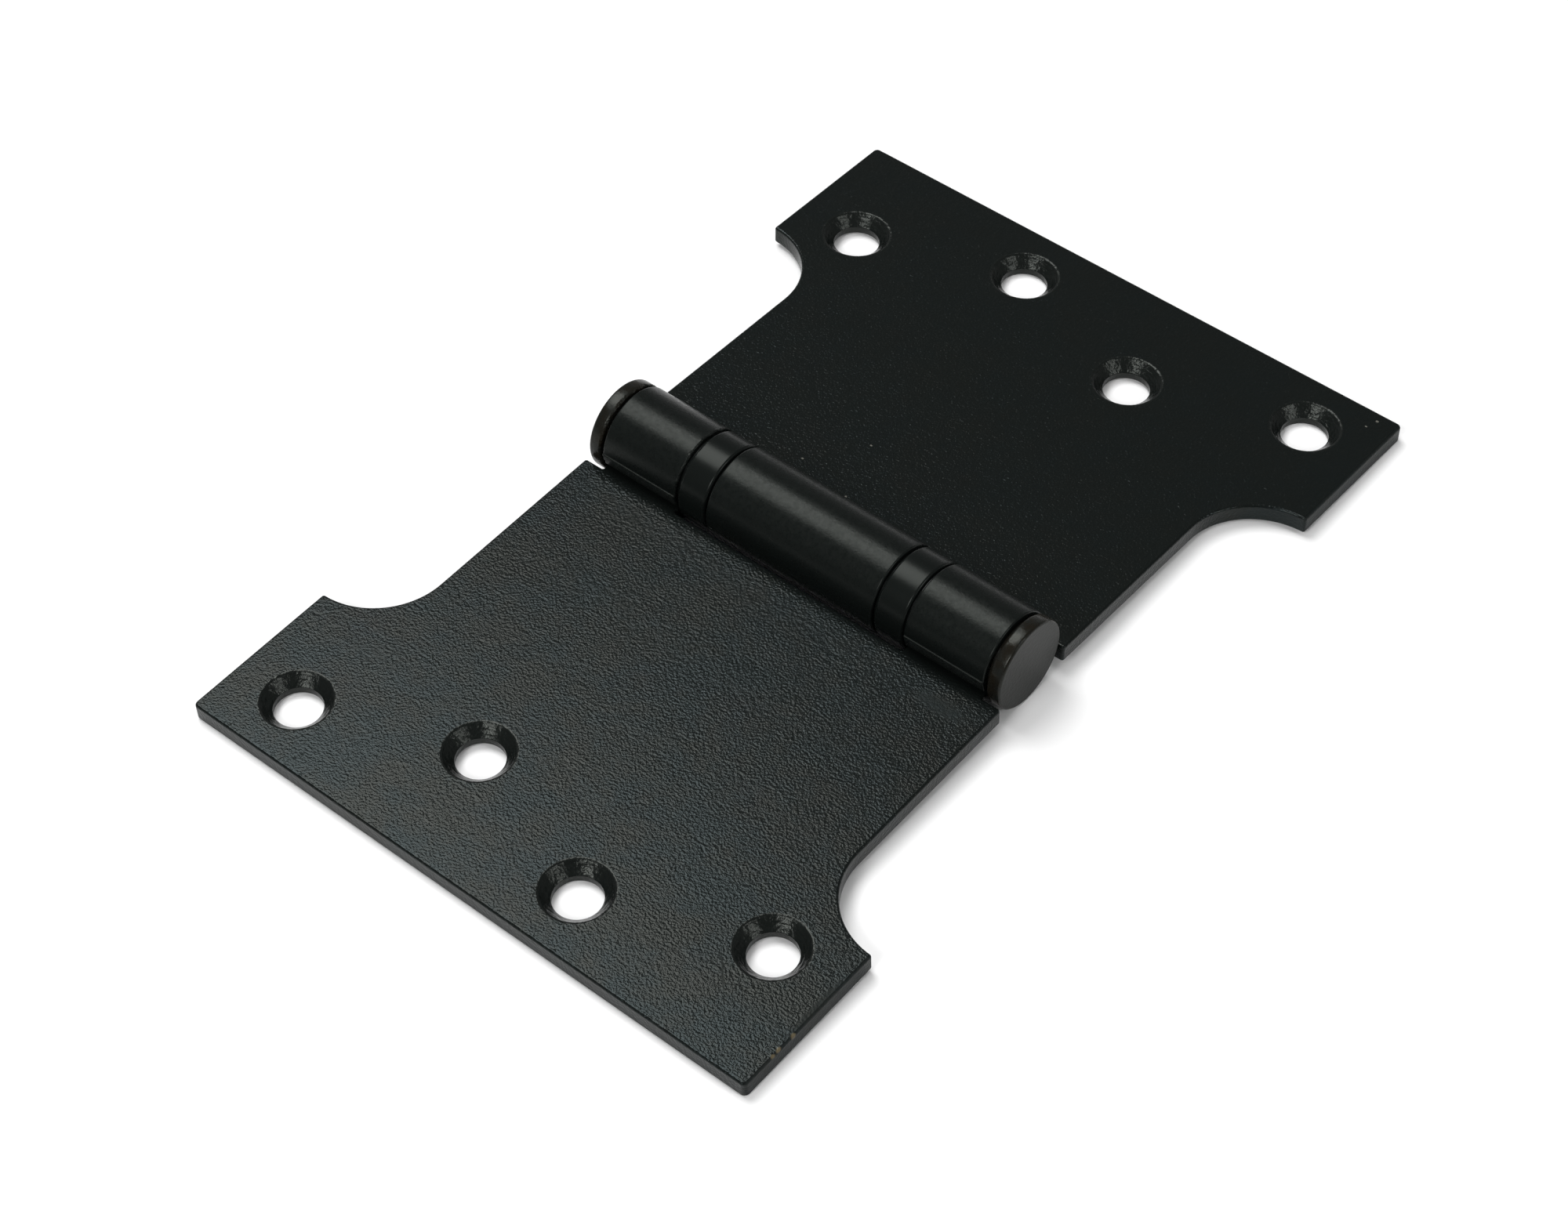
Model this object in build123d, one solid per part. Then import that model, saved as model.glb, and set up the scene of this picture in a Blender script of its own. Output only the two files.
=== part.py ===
from build123d import *
import math
import os

# Parliament hinge, 102 mm high and 155 mm wide when open, in millimetres.
# X runs along the barrel, +Z is up, and the origin is on the table under the middle of the barrel.
# It lies as it would on a table: the barrel and the outer edge of each leaf touch Z = 0.
# The front leaf is on the -Y side, the back leaf on the +Y side, countersinks upwards.

# Leaves, both pressed from the same sheet
LEAF_HEIGHT = 102.0
OPEN_WIDTH = 155.0
SHEET = 3.0
NOTCH_RADIUS = 12.0
WING_WIDTH = 26.3
CORNER_RADIUS = 0.8
EDGE_ROUND = 0.4
NECK_WIDTH = LEAF_HEIGHT - 2 * NOTCH_RADIUS
LEAF_REACH = OPEN_WIDTH / 2

# Screw holes, staggered in two rows, countersunk at 90 degrees
HOLE_DIAMETER = 7.3
COUNTERSINK_DIAMETER = 10.7
HOLE_PITCH = 26.6
OUTER_ROW = 67.8
INNER_ROW = 58.5
CUTTER_OVERRUN = 1.0

# Barrel
PIN_DIAMETER = 8.5
BORE = 8.6
BARREL_RADIUS = BORE / 2 + SHEET
LEAF_FACE_BELOW_AXIS = 2.2
LEAF_EDGE_FROM_AXIS = 7.6
BEND_RADIUS = 5.0
STRIP_OVERLAP = 1.0

# Free end of each roll: a small lip stands out along it, and it stops short of the leaf's face
LIP_ANGLE = 8.0
LIP_STEP = 0.24
LIP_DROP = 0.14
LIP_ROUND = 0.12
FOOT_OUT = 6.94
FOOT_HEIGHT = -1.46
FOOT_ROUND = 0.3
END_SLOPE = 0.2

# Places along the barrel, from its middle
MIDDLE_KNUCKLE_END = 15.5
OUTER_KNUCKLE_START = 21.4
OUTER_KNUCKLE_END = 35.6
BARREL_END = 38.4
KNUCKLE_ROUND = 0.3
GROOVE = 0.4

# End plugs, pressed into the bore of the outer knuckles
PLUG_DIAMETER = 14.5
PLUG_NECK_DIAMETER = 12.4
PLUG_NECK = 0.55
PLUG_SPIGOT = 3.4
SPIGOT_CHAMFER = 0.4
PLUG_ROUND = 0.45
PIN_TIP = 0.8
PIN_TO_PLUG = 0.2

# Thrust bearings, one between the middle knuckle and each outer knuckle
SHELL_DIAMETER = 14.5
SHELL_BORE = 13.3
SHELL_ROUND = 0.45
RACE_BORE = 8.66
TURNING_RACE_DIAMETER = 13.1
BALL_DIAMETER = 1.5
BALL_COUNT = 12
BALL_PITCH_RADIUS = 5.42
BALL_CLEARANCE = 0.02
TRACK_DEPTH = 0.35
CAGE_SHEET = 0.5
CAGE_INNER_RADIUS = 4.35
CAGE_OUTER_RADIUS = 6.5
POCKET_CLEARANCE = 0.03

# How near two sizes have to be to count as the same, when edges and corners are picked out
TOLERANCE = 0.01

# Worked out from the sizes above
AXIS_HEIGHT = BARREL_RADIUS
LEAF_BACK = -LEAF_FACE_BELOW_AXIS - SHEET
BEARING_MIDDLE = (MIDDLE_KNUCKLE_END + OUTER_KNUCKLE_START) / 2
HALF_RACE_GAP = BALL_DIAMETER / 2 - TRACK_DEPTH


def droop():
    """The angle by which each leaf droops until the round of its outer edge touches the table."""
    out = LEAF_REACH - EDGE_ROUND
    down = -LEAF_BACK - EDGE_ROUND
    tilt = math.asin((AXIS_HEIGHT - EDGE_ROUND) / math.hypot(out, down)) - math.atan2(down, out)
    return math.degrees(tilt)


def at_angle(radius, angle):
    return (radius * math.cos(math.radians(angle)), radius * math.sin(math.radians(angle)))


def halfway(start, end):
    return (start + end) / 2


def leaf_outline():
    """Half neck and half wing, joined by the quarter-round notch, then mirrored."""
    neck = NECK_WIDTH / 2
    wing = LEAF_HEIGHT / 2
    wing_start = LEAF_REACH - WING_WIDTH
    notch_start = wing_start - NOTCH_RADIUS
    middle_of_notch = at_angle(NOTCH_RADIUS, 135)
    right_side = (
        Line((0, LEAF_EDGE_FROM_AXIS), (neck, LEAF_EDGE_FROM_AXIS))
        + Line((neck, LEAF_EDGE_FROM_AXIS), (neck, notch_start))
        + ThreePointArc(
            (neck, notch_start),
            (wing + middle_of_notch[0], notch_start + middle_of_notch[1]),
            (wing, wing_start),
        )
        + Line((wing, wing_start), (wing, LEAF_REACH))
        + Line((wing, LEAF_REACH), (0, LEAF_REACH))
    )
    return make_face(right_side + mirror(right_side, Plane.YZ))


def hole_places():
    """The four screw holes from left to right, alternately in the inner and the outer row."""
    rows = (INNER_ROW, OUTER_ROW)
    return [((number - 1.5) * HOLE_PITCH, rows[number % 2]) for number in range(4)]


def screw_hole(x, y):
    """A through hole and its 90 degree countersink, as one turned cutter."""
    top = LEAF_BACK + SHEET
    sink_depth = (COUNTERSINK_DIAMETER - HOLE_DIAMETER) / 2
    profile = Polyline(
        (0, LEAF_BACK - CUTTER_OVERRUN),
        (HOLE_DIAMETER / 2, LEAF_BACK - CUTTER_OVERRUN),
        (HOLE_DIAMETER / 2, top - sink_depth),
        (COUNTERSINK_DIAMETER / 2, top),
        (COUNTERSINK_DIAMETER / 2 + CUTTER_OVERRUN, top + CUTTER_OVERRUN),
        (0, top + CUTTER_OVERRUN),
        close=True,
    )
    cutter = revolve(make_face(Plane.XZ * profile), Axis.Z)
    return Pos(x, y, 0) * cutter


def leaf_plate():
    """The flat of a leaf, in line with the axis, with rounded edges and its four holes."""
    outline = leaf_outline()
    corners = [v for v in outline.vertices() if abs(v.X) > TOLERANCE and not on_notch_tangent(v)]
    outline = fillet(corners, CORNER_RADIUS)
    plate = Pos(0, 0, LEAF_BACK) * extrude(outline, SHEET)
    rims = plate.edges().filter_by(Plane.XY)
    plate = fillet(rims, EDGE_ROUND)
    for x, y in hole_places():
        plate -= screw_hole(x, y)
    return plate


def on_notch_tangent(vertex):
    """Whether a point of the outline is where the neck's side runs smoothly into the notch."""
    notch_start = LEAF_REACH - WING_WIDTH - NOTCH_RADIUS
    return abs(vertex.Y - notch_start) < TOLERANCE


def knuckle_section():
    """The rolled sheet seen along the barrel: it bends down out of the leaf, goes under the pin, up and
    over it, and ends with a lip and a slope just above the leaf's own face."""
    bore = BORE / 2
    face = -LEAF_FACE_BELOW_AXIS
    strip_end = LEAF_EDGE_FROM_AXIS + STRIP_OVERLAP
    lip_root = at_angle(BARREL_RADIUS, LIP_ANGLE)
    lip_crest = (lip_root[0] + LIP_STEP, lip_root[1] - LIP_DROP)
    foot = (FOOT_OUT, FOOT_HEIGHT)
    inner_end_height = FOOT_HEIGHT + END_SLOPE
    inner_end = (math.sqrt(bore**2 - inner_end_height**2), inner_end_height)

    bend_height = LEAF_BACK - BEND_RADIUS
    bend_centre = (math.sqrt((BARREL_RADIUS + BEND_RADIUS) ** 2 - bend_height**2), bend_height)
    bend_angle = math.degrees(math.atan2(bend_centre[1], bend_centre[0]))
    bend_start = at_angle(BARREL_RADIUS, bend_angle)
    half_bend = halfway(bend_angle + 180, 90)
    back_middle = Vector(*bend_centre) + Vector(*at_angle(BEND_RADIUS, half_bend))
    face_middle = Vector(*bend_centre) + Vector(*at_angle(BEND_RADIUS + SHEET, half_bend))

    bore_start = at_angle(bore, bend_angle)
    bore_last = math.degrees(math.atan2(inner_end[1], inner_end[0])) - 360
    path = (
        Line((strip_end, face), (bend_centre[0], face))
        + ThreePointArc((bend_centre[0], face), face_middle, bore_start)
        + ThreePointArc(bore_start, at_angle(bore, halfway(bend_angle, bore_last)), inner_end)
        + FilletPolyline(inner_end, foot, lip_crest, lip_root, radius=[FOOT_ROUND, LIP_ROUND])
        + ThreePointArc(
            lip_root,
            at_angle(BARREL_RADIUS, halfway(LIP_ANGLE, bend_angle + 360)),
            bend_start,
        )
        + ThreePointArc(bend_start, back_middle, (bend_centre[0], LEAF_BACK))
        + Line((bend_centre[0], LEAF_BACK), (strip_end, LEAF_BACK))
        + Line((strip_end, LEAF_BACK), (strip_end, face))
    )
    return make_face(path)


def knuckle(start, end):
    """One rolled knuckle between two places along the barrel, with its outer ends rounded."""
    section = Plane.YZ * knuckle_section()
    roll = Pos(start, 0, 0) * extrude(section, end - start)
    ends = [
        e
        for e in roll.edges().filter_by(GeomType.CIRCLE)
        if abs(e.radius - BARREL_RADIUS) < TOLERANCE
    ]
    return fillet(ends, KNUCKLE_ROUND)


def place_leaf(leaf, on_front):
    """Droop a leaf about the barrel's axis, turn the front one round, and lift it to the axis height."""
    drooped = Rot(-droop(), 0, 0) * leaf
    turned = Rot(0, 0, 180) * drooped if on_front else drooped
    return Pos(0, 0, AXIS_HEIGHT) * turned


def leaf_with_outer_knuckles():
    leaf = leaf_plate()
    leaf += knuckle(OUTER_KNUCKLE_START, OUTER_KNUCKLE_END)
    leaf += knuckle(-OUTER_KNUCKLE_END, -OUTER_KNUCKLE_START)
    return place_leaf(leaf, on_front=True)


def leaf_with_middle_knuckle():
    leaf = leaf_plate()
    leaf += knuckle(-MIDDLE_KNUCKLE_END, MIDDLE_KNUCKLE_END)
    return place_leaf(leaf, on_front=False)


def turned(profile):
    """Turn a closed profile, given as (along the barrel, radius) points, about the barrel's axis."""
    face = make_face(Plane.XZ * Polyline(*profile, close=True))
    return Pos(0, 0, AXIS_HEIGHT) * revolve(face, Axis.X)


def hinge_pin():
    """A plain pin whose ends, slightly larger, grip the outer knuckles."""
    grip = BORE / 2
    plain = PIN_DIAMETER / 2
    end = OUTER_KNUCKLE_END - PLUG_SPIGOT - PIN_TO_PLUG
    shoulder = OUTER_KNUCKLE_START
    return turned([
        (-end, 0),
        (-end, grip - PIN_TIP),
        (-end + PIN_TIP, grip),
        (-shoulder, grip),
        (-shoulder, plain),
        (shoulder, plain),
        (shoulder, grip),
        (end - PIN_TIP, grip),
        (end, grip - PIN_TIP),
        (end, 0),
    ])


def round_rims(part, radius, rim_diameter):
    rims = [
        e
        for e in part.edges().filter_by(GeomType.CIRCLE)
        if abs(e.radius - rim_diameter / 2) < TOLERANCE
    ]
    return fillet(rims, radius)


def end_plug():
    """A flat-faced plug for the +X end: head, narrow neck that leaves a groove, and spigot."""
    spigot_end = OUTER_KNUCKLE_END - PLUG_SPIGOT
    head_start = OUTER_KNUCKLE_END + PLUG_NECK
    plug = turned([
        (spigot_end, 0),
        (spigot_end, BORE / 2 - SPIGOT_CHAMFER),
        (spigot_end + SPIGOT_CHAMFER, BORE / 2),
        (OUTER_KNUCKLE_END, BORE / 2),
        (OUTER_KNUCKLE_END, PLUG_NECK_DIAMETER / 2),
        (head_start, PLUG_NECK_DIAMETER / 2),
        (head_start, PLUG_DIAMETER / 2),
        (BARREL_END, PLUG_DIAMETER / 2),
        (BARREL_END, 0),
    ])
    return round_rims(plug, PLUG_ROUND, PLUG_DIAMETER)


def bearing_shell():
    """The collar that shows between two knuckles, open at both ends and pressed over the fixed race."""
    start = MIDDLE_KNUCKLE_END + GROOVE
    end = OUTER_KNUCKLE_START - GROOVE
    shell = turned([
        (start, SHELL_BORE / 2),
        (start, SHELL_DIAMETER / 2),
        (end, SHELL_DIAMETER / 2),
        (end, SHELL_BORE / 2),
    ])
    return round_rims(shell, SHELL_ROUND, SHELL_DIAMETER)


def ball_track():
    """The ring-shaped groove that the balls run in, as a cutter."""
    ring = Torus(BALL_PITCH_RADIUS, BALL_DIAMETER / 2 + BALL_CLEARANCE)
    return Pos(BEARING_MIDDLE, 0, AXIS_HEIGHT) * Rot(0, 90, 0) * ring


def race(start, end, diameter):
    ring = turned([
        (start, RACE_BORE / 2),
        (start, diameter / 2),
        (end, diameter / 2),
        (end, RACE_BORE / 2),
    ])
    return ring - ball_track()


def turning_race():
    """The race that sits on the middle knuckle and turns with it."""
    return race(MIDDLE_KNUCKLE_END, BEARING_MIDDLE - HALF_RACE_GAP, TURNING_RACE_DIAMETER)


def fixed_race():
    """The race that sits on the outer knuckle, inside the shell."""
    return race(BEARING_MIDDLE + HALF_RACE_GAP, OUTER_KNUCKLE_START, SHELL_BORE)


def ball_place(number):
    y, z = at_angle(BALL_PITCH_RADIUS, 360 * number / BALL_COUNT)
    return Pos(BEARING_MIDDLE, y, AXIS_HEIGHT + z)


def ball_cage():
    """A flat ring with one pocket for each ball."""
    half = CAGE_SHEET / 2
    cage = turned([
        (BEARING_MIDDLE - half, CAGE_INNER_RADIUS),
        (BEARING_MIDDLE - half, CAGE_OUTER_RADIUS),
        (BEARING_MIDDLE + half, CAGE_OUTER_RADIUS),
        (BEARING_MIDDLE + half, CAGE_INNER_RADIUS),
    ])
    pocket = Rot(0, 90, 0) * Cylinder(BALL_DIAMETER / 2 + POCKET_CLEARANCE, 2 * CAGE_SHEET)
    for number in range(BALL_COUNT):
        cage -= ball_place(number) * pocket
    return cage


def ball(number):
    return ball_place(number) * Sphere(BALL_DIAMETER / 2)


def both_ends(name, part):
    """The same piece at each end of the barrel: the right one as modelled, the left one turned round."""
    return {name + "_right": part, name + "_left": Rot(0, 0, 180) * part}


def all_parts():
    parts = {
        "leaf_with_outer_knuckles": leaf_with_outer_knuckles(),
        "leaf_with_middle_knuckle": leaf_with_middle_knuckle(),
        "hinge_pin": hinge_pin(),
    }
    parts.update(both_ends("end_plug", end_plug()))
    parts.update(both_ends("bearing_shell", bearing_shell()))
    parts.update(both_ends("turning_race", turning_race()))
    parts.update(both_ends("fixed_race", fixed_race()))
    parts.update(both_ends("ball_cage", ball_cage()))
    for number in range(BALL_COUNT):
        parts.update(both_ends(f"ball_{number + 1:02d}", ball(number)))
    return parts


def main():
    os.makedirs("parts", exist_ok=True)
    for name, part in all_parts().items():
        export_step(part, f"parts/{name}.step")
    print(f"each leaf droops {droop():.3f} degrees")


main()
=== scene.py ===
import math

import bmesh
import bpy
from bpy.props import FloatProperty, FloatVectorProperty, PointerProperty
from mathutils import Matrix, Vector


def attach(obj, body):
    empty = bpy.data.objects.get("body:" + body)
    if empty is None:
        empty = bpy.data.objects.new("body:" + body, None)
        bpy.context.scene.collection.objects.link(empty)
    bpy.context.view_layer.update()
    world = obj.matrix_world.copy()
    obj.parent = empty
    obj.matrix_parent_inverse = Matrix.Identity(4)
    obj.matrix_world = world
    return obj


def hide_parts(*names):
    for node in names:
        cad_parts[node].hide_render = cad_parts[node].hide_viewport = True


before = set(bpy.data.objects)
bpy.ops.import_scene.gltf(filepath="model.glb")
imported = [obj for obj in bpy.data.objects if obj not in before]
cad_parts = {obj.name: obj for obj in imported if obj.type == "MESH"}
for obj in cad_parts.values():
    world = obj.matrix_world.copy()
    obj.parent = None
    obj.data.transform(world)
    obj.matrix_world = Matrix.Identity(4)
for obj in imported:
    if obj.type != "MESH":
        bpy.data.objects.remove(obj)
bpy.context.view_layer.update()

bl_info = {
    "name": "Parliament Hinge",
    "version": (1, 0, 0),
    "blender": (4, 5, 0),
    "location": "View3D > Sidebar > Hinge",
    "description": "Makes a black parliament hinge with ball thrust bearings around its packed model",
    "category": "Add Mesh",
}

# Lengths are millimetres, turned to metres by MM. X runs along the barrel, and each leaf is drawn
# in line with the barrel's axis, with +Y outwards and heights counted from the axis.
MM = 0.001

# Leaves, pressed from one sheet
SHEET = 3.0
LEAF_HEIGHT = 102.0
OPEN_WIDTH = 155.0
NOTCH_RADIUS = 12.0
WING_WIDTH = 26.3
CORNER_RADIUS = 0.8
NOTCH_CORNER_RADIUS = 0.45
EDGE_ROUND = 0.4
TAB_ROOT_ROUND = 0.3
TAB_STUB = 0.1
NECK_WIDTH = LEAF_HEIGHT - 2 * NOTCH_RADIUS
LEAF_REACH = OPEN_WIDTH / 2

# Screw holes
HOLE_DIAMETER = 7.3
COUNTERSINK_DIAMETER = 10.7
HOLE_PITCH = 26.6
OUTER_ROW = 67.8
INNER_ROW = 58.5
HOLES_PER_LEAF = 4
SHOULDER_ROUND = 0.65
THROAT_ROUND = 0.15
HOLE_BACK_ROUND = 0.3

# Barrel
BORE = 8.6
BARREL_RADIUS = BORE / 2 + SHEET
AXIS_HEIGHT = BARREL_RADIUS
LEAF_FACE_BELOW_AXIS = 2.2
LEAF_BACK = -LEAF_FACE_BELOW_AXIS - SHEET
LEAF_EDGE_FROM_AXIS = 7.45
BEND_RADIUS = 5.0
MIDDLE_KNUCKLE_END = 15.5
OUTER_KNUCKLE_START = 21.4
OUTER_KNUCKLE_END = 35.6
BARREL_END = 38.4
KNUCKLE_ROUND = 0.3
GROOVE = 0.4

# Free end of each roll: a small lip starts so many degrees above the axis, and the roll is plain
# again a few degrees further on. A slope runs from the lip's crest down to a foot over the leaf.
LIP_ANGLE = 8.0
LIP_SPREAD = 3.0
LIP_STEP = 0.24
LIP_DROP = 0.1
LIP_ROUND = 0.12
FOOT_OUT = 6.94
FOOT_HEIGHT = -1.46
FOOT_ROUND = 0.3
END_SLOPE = 0.2

# End plugs
PLUG_DIAMETER = 14.5
PLUG_NECK_DIAMETER = 12.4
PLUG_NECK = 0.55
PLUG_SPIGOT = 3.4
SPIGOT_CHAMFER = 0.4
PLUG_ROUND = 0.45

# Thrust bearings
SHELL_DIAMETER = 14.5
SHELL_BORE = 13.3
SHELL_ROUND = 0.45
RACE_RADIUS = 6.55
BALL_DIAMETER = 1.5
BALL_COUNT = 12
BALL_PITCH_RADIUS = 5.42
BEARING_MIDDLE = (MIDDLE_KNUCKLE_END + OUTER_KNUCKLE_START) / 2

# How finely rounds are cut
ROUND_STEPS = 5
NOTCH_STEPS = 40
HOLE_STEPS = 80
BORE_STEPS = 72
ROLL_STEPS = 110
BEND_STEPS = 14
TURN_STEPS = 160
BALL_SEGMENTS = 24
BALL_RINGS = 16
SHARP_ANGLE = math.radians(38)

# Points nearer to each other than the first are joined, and edges shorter than the second go
WELD_DISTANCE = 0.002
SLIVER_LENGTH = 0.0005

# The photograph's camera
CAMERA_PLACE = Vector((216.28, -264.17, 372.73))
CAMERA_AIM = Vector((0.72, -8.88, 0.0))
CAMERA_ROLL = math.radians(-0.698)
CAMERA_LENS = 78.888


def linear(hex_colour):
    """An sRGB hex colour as linear red, green and blue."""
    parts = [int(hex_colour[start : start + 2], 16) / 255 for start in (1, 3, 5)]
    return tuple(v / 12.92 if v <= 0.04045 else ((v + 0.055) / 1.055) ** 2.4 for v in parts)


def rgba(colour):
    """A colour with full opacity added."""
    return (*colour, 1.0)


def per(size):
    """The texture scale that gives features about this many millimetres across."""
    return 1 / (size * MM)


def add_node(tree, kind, inputs=None, **settings):
    """Adds a node with its settings; each input is given a value or another node's output."""
    node = tree.nodes.new(kind)
    for name, value in settings.items():
        setattr(node, name, value)
    for name, value in (inputs or {}).items():
        if isinstance(value, bpy.types.NodeSocket):
            tree.links.new(value, node.inputs[name])
        else:
            node.inputs[name].default_value = value
    return node


# Paths and meshes

def arc(centre, radius, start, end, steps):
    """Points along an arc, both ends included, angles in degrees."""
    angles = [math.radians(start + (end - start) * step / steps) for step in range(steps + 1)]
    return [(centre[0] + radius * math.cos(a), centre[1] + radius * math.sin(a)) for a in angles]


def rounded(corners):
    """A path through corners given as (u, v, radius), each turned by an arc of its radius."""
    path = []
    for number, (u, v, radius) in enumerate(corners):
        here = Vector((u, v))
        if radius == 0:
            path.append((u, v))
            continue
        back = (Vector(corners[number - 1][:2]) - here).normalized()
        ahead = (Vector(corners[(number + 1) % len(corners)][:2]) - here).normalized()
        half = back.angle(ahead) / 2
        middle = here + (back + ahead).normalized() * radius / math.sin(half)
        first = here + back * radius / math.tan(half) - middle
        last = here + ahead * radius / math.tan(half) - middle
        for step in range(ROUND_STEPS + 1):
            spoke = first.normalized().slerp(last.normalized(), step / ROUND_STEPS)
            path.append(tuple(middle + spoke * radius))
    return path


def outward_steps(path):
    """For each point of an open anticlockwise path, the step that moves the whole path out by one."""
    normals = [Vector((b[1] - a[1], a[0] - b[0])).normalized() for a, b in zip(path, path[1:])]
    steps = []
    for before, after in zip([normals[0]] + normals, normals + [normals[-1]]):
        middle = (before + after).normalized()
        steps.append(middle / middle.dot(before))
    return steps


def add_walls(bm, path, roundings, low, high, place):
    """Walls along an open path from one level to another, with rounded rims.
    Returns the vertices of the low rim and of the high rim."""
    columns = []
    for (u, v), out, radius in zip(path, outward_steps(path), roundings):
        column = []
        for step in range(ROUND_STEPS + 1):
            angle = math.pi / 2 * step / ROUND_STEPS
            inset = radius * (1 - math.sin(angle))
            column.append((u - out.x * inset, v - out.y * inset, low + radius * (1 - math.cos(angle))))
        column += [(a, b, low + high - level) for a, b, level in reversed(column)]
        columns.append([bm.verts.new(place(*point)) for point in column])
    for left, right in zip(columns, columns[1:]):
        for step in range(len(left) - 1):
            bm.faces.new((left[step], right[step], right[step + 1], left[step + 1]))
    return [column[0] for column in columns], [column[-1] for column in columns]


def loop_edges(bm, loop):
    """The edges round a closed loop of vertices, made where they are missing."""
    edges = []
    for first, second in zip(loop, loop[1:] + loop[:1]):
        edges.append(bm.edges.get((first, second)) or bm.edges.new((first, second)))
    return edges


def fill(bm, loops, normal):
    """A flat face inside the first loop and outside the others."""
    edges = [edge for loop in loops for edge in loop_edges(bm, loop)]
    bmesh.ops.triangle_fill(bm, use_beauty=True, use_dissolve=False, edges=edges, normal=normal)


def add_turned(bm, profile, centre, steps, material=0):
    """A ring of faces for each stretch of a (radius, height) profile turned about Z at a centre."""
    rings = []
    for radius, height in profile:
        circle = arc(centre, radius, 0, 360, steps)[:-1]
        rings.append([bm.verts.new((x, y, height)) for x, y in circle])
    for upper, lower in zip(rings, rings[1:]):
        for number in range(steps):
            after = (number + 1) % steps
            face = bm.faces.new((upper[number], upper[after], lower[after], lower[number]))
            face.material_index = material
    return rings


def finished(bm, name, matrix, materials):
    """Makes the closed mesh an object in metres at the origin, smooth but for its sharp edges."""
    bmesh.ops.remove_doubles(bm, verts=bm.verts, dist=WELD_DISTANCE)
    bmesh.ops.dissolve_degenerate(bm, edges=bm.edges, dist=SLIVER_LENGTH)
    bmesh.ops.recalc_face_normals(bm, faces=bm.faces)
    open_edges = [edge for edge in bm.edges if len(edge.link_faces) != 2]
    if open_edges:
        raise RuntimeError(f"{name} isn't closed: {len(open_edges)} edges are open")
    bmesh.ops.transform(bm, matrix=Matrix.Scale(MM, 4) @ matrix, verts=bm.verts)
    mesh = bpy.data.meshes.new(name)
    bm.to_mesh(mesh)
    bm.free()
    mesh.shade_smooth()
    mesh.set_sharp_from_angle(angle=SHARP_ANGLE)
    piece = bpy.data.objects.new(name, mesh)
    bpy.context.scene.collection.objects.link(piece)
    for material in materials:
        mesh.materials.append(material)
    weighting = piece.modifiers.new("Even shading", "WEIGHTED_NORMAL")
    weighting.keep_sharp = True
    return applied(piece)


def applied(piece):
    """Turns what the modifiers make into the piece's own mesh."""
    graph = bpy.context.evaluated_depsgraph_get()
    mesh = bpy.data.meshes.new_from_object(piece.evaluated_get(graph))
    mesh.name = piece.name
    piece.modifiers.clear()
    piece.data = mesh
    return piece


# The leaves

def plate_runs(tabs, corner_radius):
    """The leaf's outline anticlockwise from tab to tab. Each run starts and ends on a tab's side."""
    neck = NECK_WIDTH / 2
    wing = LEAF_HEIGHT / 2
    edge = LEAF_EDGE_FROM_AXIS
    tab_start = bend_end() + TAB_STUB
    wing_start = LEAF_REACH - WING_WIDTH
    notch_centre = (wing, wing_start - NOTCH_RADIUS)
    corner_side = wing - NOTCH_CORNER_RADIUS
    spread = NOTCH_RADIUS + NOTCH_CORNER_RADIUS
    corner_rise = math.sqrt(spread**2 - NOTCH_CORNER_RADIUS**2)
    corner_angle = math.degrees(math.atan2(-corner_rise, NOTCH_CORNER_RADIUS))

    right = rounded([
        (tabs[-1][1], tab_start, 0),
        (tabs[-1][1], edge, TAB_ROOT_ROUND),
        (neck, edge, NOTCH_CORNER_RADIUS),
        (neck, notch_centre[1], 0),
    ])
    right += arc(notch_centre, NOTCH_RADIUS, 180, corner_angle + 180, NOTCH_STEPS)[1:]
    notch_corner = (corner_side, notch_centre[1] + corner_rise)
    right += arc(notch_corner, NOTCH_CORNER_RADIUS, corner_angle, 0, ROUND_STEPS)[1:]
    outer_corner = (wing - corner_radius, LEAF_REACH - corner_radius)
    right += arc(outer_corner, corner_radius, 0, 90, ROUND_STEPS)
    left = [(-u, v) for u, v in reversed(right)]

    runs = [right + left]
    for (_, end), (start, _) in zip(tabs, tabs[1:]):
        runs.append(rounded([
            (end, tab_start, 0),
            (end, edge, TAB_ROOT_ROUND),
            (start, edge, TAB_ROOT_ROUND),
            (start, tab_start, 0),
        ]))
    return runs


def bend_end():
    """How far from the axis the bend under each knuckle runs out into the flat of its tab."""
    return math.sqrt((BARREL_RADIUS + BEND_RADIUS) ** 2 - (LEAF_BACK - BEND_RADIUS) ** 2)


def sink_profile(shoulder_round):
    """Hole and countersink from face to back, as (radius, height), with a soft painted shoulder. The
    first and last corners only lead the rounds in and out, and aren't part of it."""
    top = LEAF_BACK + SHEET
    throat = HOLE_DIAMETER / 2
    rim = COUNTERSINK_DIAMETER / 2
    return rounded([
        (rim + SHEET, top, 0),
        (rim, top, shoulder_round),
        (throat, top - (rim - throat), THROAT_ROUND),
        (throat, LEAF_BACK, HOLE_BACK_ROUND),
        (throat + SHEET, LEAF_BACK, 0),
    ])[1:-1]


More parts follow.
